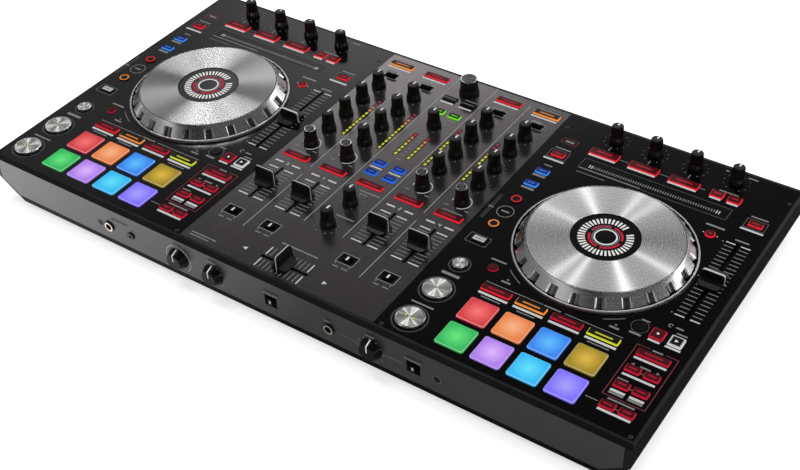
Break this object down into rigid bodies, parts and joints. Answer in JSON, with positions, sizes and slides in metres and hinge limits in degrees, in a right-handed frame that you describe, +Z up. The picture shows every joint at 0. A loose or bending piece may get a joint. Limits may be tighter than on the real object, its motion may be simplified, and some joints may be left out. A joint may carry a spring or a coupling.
{
  "type": "four-channel dj controller",
  "caption": "Flat black console with a jog wheel deck on either side of a mixer: faders, ribbed knobs, colour-lit pads and keys, sockets at the front and the back.",
  "frame": {"origin": "centre of the bounding box, on the plane the feet stand on", "axes": "+X to the user's right, along the front edge; +Y from the user to the back; +Z up"},
  "size_m": [0.664, 0.3534, 0.0704],
  "materials": {
    "black_plastic": "satin black moulding",
    "tray_metal": "black powder coat",
    "deck_sheet": "gloss black anodised",
    "mixer_sheet": "dark grey brushed and anodised",
    "fascia_sheet": "mid grey brushed",
    "rubber": "matt",
    "screw_steel": "blackened",
    "board": "green laminate",
    "socket_plastic": "black moulding",
    "lens": "smoked",
    "hub_plastic": "polished black",
    "wheel_metal": "turned and brushed",
    "knob_rubber": "ribbed black",
    "cap_plastic": "fine grain black",
    "pad_silicone": "translucent silicone, lit from below",
    "button_metal": "spun face",
    "key_plastic": "translucent, lit from below",
    "lever_plastic": "satin"
  },
  "bodies": {
    "case": {"upper_case": "black_plastic", "bottom_tray": "tray_metal", "rear_panel": "tray_metal", "deck_panels": "deck_sheet", "mixer_panel": "mixer_sheet", "front_fascia": "fascia_sheet", "rubber_feet": "rubber", "screws": "screw_steel", "circuit_boards": "board", "sockets": "socket_plastic", "jog_hubs": "hub_plastic", "lenses": "lens"},
    "jog_wheel_left": {"jog_wheel_left": "wheel_metal"},
    "jog_wheel_right": {"jog_wheel_right": "wheel_metal"},
    "tempo_fader_left": {"tempo_fader_left": "cap_plastic"},
    "tempo_fader_right": {"tempo_fader_right": "cap_plastic"},
    "channel_fader_1": {"channel_fader_1": "cap_plastic"},
    "channel_fader_2": {"channel_fader_2": "cap_plastic"},
    "channel_fader_3": {"channel_fader_3": "cap_plastic"},
    "channel_fader_4": {"channel_fader_4": "cap_plastic"},
    "crossfader": {"crossfader": "cap_plastic"},
    "trim_knob_3": {"trim_knob_3": "knob_rubber"},
    "trim_knob_1": {"trim_knob_1": "knob_rubber"},
    "trim_knob_2": {"trim_knob_2": "knob_rubber"},
    "trim_knob_4": {"trim_knob_4": "knob_rubber"},
    "high_knob_3": {"high_knob_3": "knob_rubber"},
    "high_knob_1": {"high_knob_1": "knob_rubber"},
    "high_knob_2": {"high_knob_2": "knob_rubber"},
    "high_knob_4": {"high_knob_4": "knob_rubber"},
    "mid_knob_3": {"mid_knob_3": "knob_rubber"},
    "mid_knob_1": {"mid_knob_1": "knob_rubber"},
    "mid_knob_2": {"mid_knob_2": "knob_rubber"},
    "mid_knob_4": {"mid_knob_4": "knob_rubber"},
    "low_knob_3": {"low_knob_3": "knob_rubber"},
    "low_knob_1": {"low_knob_1": "knob_rubber"},
    "low_knob_2": {"low_knob_2": "knob_rubber"},
    "low_knob_4": {"low_knob_4": "knob_rubber"},
    "filter_knob_3": {"filter_knob_3": "knob_rubber"},
    "filter_knob_1": {"filter_knob_1": "knob_rubber"},
    "filter_knob_2": {"filter_knob_2": "knob_rubber"},
    "filter_knob_4": {"filter_knob_4": "knob_rubber"},
    "master_level_knob": {"master_level_knob": "knob_rubber"},
    "booth_level_knob": {"booth_level_knob": "knob_rubber"},
    "sampler_level_knob": {"sampler_level_knob": "knob_rubber"},
    "effect_knob_left_1": {"effect_knob_left_1": "knob_rubber"},
    "effect_knob_left_2": {"effect_knob_left_2": "knob_rubber"},
    "effect_knob_left_3": {"effect_knob_left_3": "knob_rubber"},
    "effect_knob_left_4": {"effect_knob_left_4": "knob_rubber"},
    "effect_knob_right_1": {"effect_knob_right_1": "knob_rubber"},
    "effect_knob_right_2": {"effect_knob_right_2": "knob_rubber"},
    "effect_knob_right_3": {"effect_knob_right_3": "knob_rubber"},
    "effect_knob_right_4": {"effect_knob_right_4": "knob_rubber"},
    "browse_knob": {"browse_knob": "knob_rubber"},
    "phones_level_knob": {"phones_level_knob": "knob_rubber"},
    "phones_mix_knob": {"phones_mix_knob": "knob_rubber"},
    "mic_level_knob": {"mic_level_knob": "knob_rubber"},
    "performance_pads": {"performance_pads": "pad_silicone"},
    "transport_buttons": {"transport_buttons": "button_metal"},
    "push_keys": {"push_keys": "key_plastic"},
    "slide_switches": {"slide_switches": "lever_plastic"}
  },
  "joints": [
    {"name": "jog_wheel_left_turn", "type": "hinge", "parent": "case", "child": "jog_wheel_left", "pos_m": [-0.21705, 0.00932, 0.051], "axis": [0, 0, 1], "continuous": true},
    {"name": "jog_wheel_right_turn", "type": "hinge", "parent": "case", "child": "jog_wheel_right", "pos_m": [0.21705, 0.00932, 0.051], "axis": [0, 0, 1], "continuous": true},
    {"name": "tempo_fader_left_slide", "type": "slide", "parent": "case", "child": "tempo_fader_left", "axis": [0, 1, 0], "range_m": [-0.05, 0.05]},
    {"name": "tempo_fader_right_slide", "type": "slide", "parent": "case", "child": "tempo_fader_right", "axis": [0, 1, 0], "range_m": [-0.05, 0.05]},
    {"name": "channel_fader_1_slide", "type": "slide", "parent": "case", "child": "channel_fader_1", "axis": [0, 1, 0], "range_m": [-0.0225, 0.0225]},
    {"name": "channel_fader_2_slide", "type": "slide", "parent": "case", "child": "channel_fader_2", "axis": [0, 1, 0], "range_m": [-0.0225, 0.0225]},
    {"name": "channel_fader_3_slide", "type": "slide", "parent": "case", "child": "channel_fader_3", "axis": [0, 1, 0], "range_m": [-0.0225, 0.0225]},
    {"name": "channel_fader_4_slide", "type": "slide", "parent": "case", "child": "channel_fader_4", "axis": [0, 1, 0], "range_m": [-0.0225, 0.0225]},
    {"name": "crossfader_slide", "type": "slide", "parent": "case", "child": "crossfader", "axis": [1, 0, 0], "range_m": [-0.0225, 0.0225]},
    {"name": "trim_knob_3_turn", "type": "hinge", "parent": "case", "child": "trim_knob_3", "pos_m": [-0.083, 0.10788, 0.051], "axis": [0, 0, 1], "range_deg": [-150, 150]},
    {"name": "trim_knob_1_turn", "type": "hinge", "parent": "case", "child": "trim_knob_1", "pos_m": [-0.0415, 0.10788, 0.051], "axis": [0, 0, 1], "range_deg": [-150, 150]},
    {"name": "trim_knob_2_turn", "type": "hinge", "parent": "case", "child": "trim_knob_2", "pos_m": [0.0415, 0.10788, 0.051], "axis": [0, 0, 1], "range_deg": [-150, 150]},
    {"name": "trim_knob_4_turn", "type": "hinge", "parent": "case", "child": "trim_knob_4", "pos_m": [0.083, 0.10788, 0.051], "axis": [0, 0, 1], "range_deg": [-150, 150]},
    {"name": "high_knob_3_turn", "type": "hinge", "parent": "case", "child": "high_knob_3", "pos_m": [-0.083, 0.08049, 0.051], "axis": [0, 0, 1], "range_deg": [-150, 150]},
    {"name": "high_knob_1_turn", "type": "hinge", "parent": "case", "child": "high_knob_1", "pos_m": [-0.0415, 0.08049, 0.051], "axis": [0, 0, 1], "range_deg": [-150, 150]},
    {"name": "high_knob_2_turn", "type": "hinge", "parent": "case", "child": "high_knob_2", "pos_m": [0.0415, 0.08049, 0.051], "axis": [0, 0, 1], "range_deg": [-150, 150]},
    {"name": "high_knob_4_turn", "type": "hinge", "parent": "case", "child": "high_knob_4", "pos_m": [0.083, 0.08049, 0.051], "axis": [0, 0, 1], "range_deg": [-150, 150]},
    {"name": "mid_knob_3_turn", "type": "hinge", "parent": "case", "child": "mid_knob_3", "pos_m": [-0.083, 0.05309, 0.051], "axis": [0, 0, 1], "range_deg": [-150, 150]},
    {"name": "mid_knob_1_turn", "type": "hinge", "parent": "case", "child": "mid_knob_1", "pos_m": [-0.0415, 0.05309, 0.051], "axis": [0, 0, 1], "range_deg": [-150, 150]},
    {"name": "mid_knob_2_turn", "type": "hinge", "parent": "case", "child": "mid_knob_2", "pos_m": [0.0415, 0.05309, 0.051], "axis": [0, 0, 1], "range_deg": [-150, 150]},
    {"name": "mid_knob_4_turn", "type": "hinge", "parent": "case", "child": "mid_knob_4", "pos_m": [0.083, 0.05309, 0.051], "axis": [0, 0, 1], "range_deg": [-150, 150]},
    {"name": "low_knob_3_turn", "type": "hinge", "parent": "case", "child": "low_knob_3", "pos_m": [-0.083, 0.02568, 0.051], "axis": [0, 0, 1], "range_deg": [-150, 150]},
    {"name": "low_knob_1_turn", "type": "hinge", "parent": "case", "child": "low_knob_1", "pos_m": [-0.0415, 0.02568, 0.051], "axis": [0, 0, 1], "range_deg": [-150, 150]},
    {"name": "low_knob_2_turn", "type": "hinge", "parent": "case", "child": "low_knob_2", "pos_m": [0.0415, 0.02568, 0.051], "axis": [0, 0, 1], "range_deg": [-150, 150]},
    {"name": "low_knob_4_turn", "type": "hinge", "parent": "case", "child": "low_knob_4", "pos_m": [0.083, 0.02568, 0.051], "axis": [0, 0, 1], "range_deg": [-150, 150]},
    {"name": "filter_knob_3_turn", "type": "hinge", "parent": "case", "child": "filter_knob_3", "pos_m": [-0.083, -0.00171, 0.051], "axis": [0, 0, 1], "range_deg": [-150, 150]},
    {"name": "filter_knob_1_turn", "type": "hinge", "parent": "case", "child": "filter_knob_1", "pos_m": [-0.0415, -0.00171, 0.051], "axis": [0, 0, 1], "range_deg": [-150, 150]},
    {"name": "filter_knob_2_turn", "type": "hinge", "parent": "case", "child": "filter_knob_2", "pos_m": [0.0415, -0.00171, 0.051], "axis": [0, 0, 1], "range_deg": [-150, 150]},
    {"name": "filter_knob_4_turn", "type": "hinge", "parent": "case", "child": "filter_knob_4", "pos_m": [0.083, -0.00171, 0.051], "axis": [0, 0, 1], "range_deg": [-150, 150]},
    {"name": "master_level_knob_turn", "type": "hinge", "parent": "case", "child": "master_level_knob", "pos_m": [0, 0.08049, 0.051], "axis": [0, 0, 1], "range_deg": [-150, 150]},
    {"name": "booth_level_knob_turn", "type": "hinge", "parent": "case", "child": "booth_level_knob", "pos_m": [0, -0.05371, 0.051], "axis": [0, 0, 1], "range_deg": [-150, 150]},
    {"name": "sampler_level_knob_turn", "type": "hinge", "parent": "case", "child": "sampler_level_knob", "pos_m": [0, -0.08672, 0.051], "axis": [0, 0, 1], "range_deg": [-150, 150]},
    {"name": "effect_knob_left_1_turn", "type": "hinge", "parent": "case", "child": "effect_knob_left_1", "pos_m": [-0.276, 0.14732, 0.051], "axis": [0, 0, 1], "range_deg": [-150, 150]},
    {"name": "effect_knob_left_2_turn", "type": "hinge", "parent": "case", "child": "effect_knob_left_2", "pos_m": [-0.2367, 0.14732, 0.051], "axis": [0, 0, 1], "range_deg": [-150, 150]},
    {"name": "effect_knob_left_3_turn", "type": "hinge", "parent": "case", "child": "effect_knob_left_3", "pos_m": [-0.1974, 0.14732, 0.051], "axis": [0, 0, 1], "range_deg": [-150, 150]},
    {"name": "effect_knob_left_4_turn", "type": "hinge", "parent": "case", "child": "effect_knob_left_4", "pos_m": [-0.1581, 0.14732, 0.051], "axis": [0, 0, 1], "range_deg": [-150, 150]},
    {"name": "effect_knob_right_1_turn", "type": "hinge", "parent": "case", "child": "effect_knob_right_1", "pos_m": [0.1581, 0.14732, 0.051], "axis": [0, 0, 1], "range_deg": [-150, 150]},
    {"name": "effect_knob_right_2_turn", "type": "hinge", "parent": "case", "child": "effect_knob_right_2", "pos_m": [0.1974, 0.14732, 0.051], "axis": [0, 0, 1], "range_deg": [-150, 150]},
    {"name": "effect_knob_right_3_turn", "type": "hinge", "parent": "case", "child": "effect_knob_right_3", "pos_m": [0.2367, 0.14732, 0.051], "axis": [0, 0, 1], "range_deg": [-150, 150]},
    {"name": "effect_knob_right_4_turn", "type": "hinge", "parent": "case", "child": "effect_knob_right_4", "pos_m": [0.276, 0.14732, 0.051], "axis": [0, 0, 1], "range_deg": [-150, 150]},
    {"name": "browse_knob_turn", "type": "hinge", "parent": "case", "child": "browse_knob", "pos_m": [0, 0.14349, 0.051], "axis": [0, 0, 1], "continuous": true},
    {"name": "phones_level_knob_turn", "type": "hinge", "parent": "case", "child": "phones_level_knob", "pos_m": [-0.103, -0.16972, 0.027], "axis": [0, -1, 0], "range_deg": [-150, 150]},
    {"name": "phones_mix_knob_turn", "type": "hinge", "parent": "case", "child": "phones_mix_knob", "pos_m": [-0.063, -0.16972, 0.027], "axis": [0, -1, 0], "range_deg": [-150, 150]},
    {"name": "mic_level_knob_turn", "type": "hinge", "parent": "case", "child": "mic_level_knob", "pos_m": [0.103, -0.16972, 0.027], "axis": [0, -1, 0], "range_deg": [-150, 150]},
    {"name": "performance_pads_press", "type": "slide", "parent": "case", "child": "performance_pads", "axis": [0, 0, -1], "range_m": [0, 0.001], "stiffness_N_per_m": 2000, "springref_m": -0.002},
    {"name": "transport_buttons_press", "type": "slide", "parent": "case", "child": "transport_buttons", "axis": [0, 0, -1], "range_m": [0, 0.001], "stiffness_N_per_m": 1500, "springref_m": -0.002},
    {"name": "push_keys_press", "type": "slide", "parent": "case", "child": "push_keys", "axis": [0, 0, -1], "range_m": [0, 0.001], "stiffness_N_per_m": 2000, "springref_m": -0.002},
    {"name": "slide_switches_slide", "type": "slide", "parent": "case", "child": "slide_switches", "axis": [1, 0, 0], "range_m": [-0.0025, 0.0025]}
  ]
}
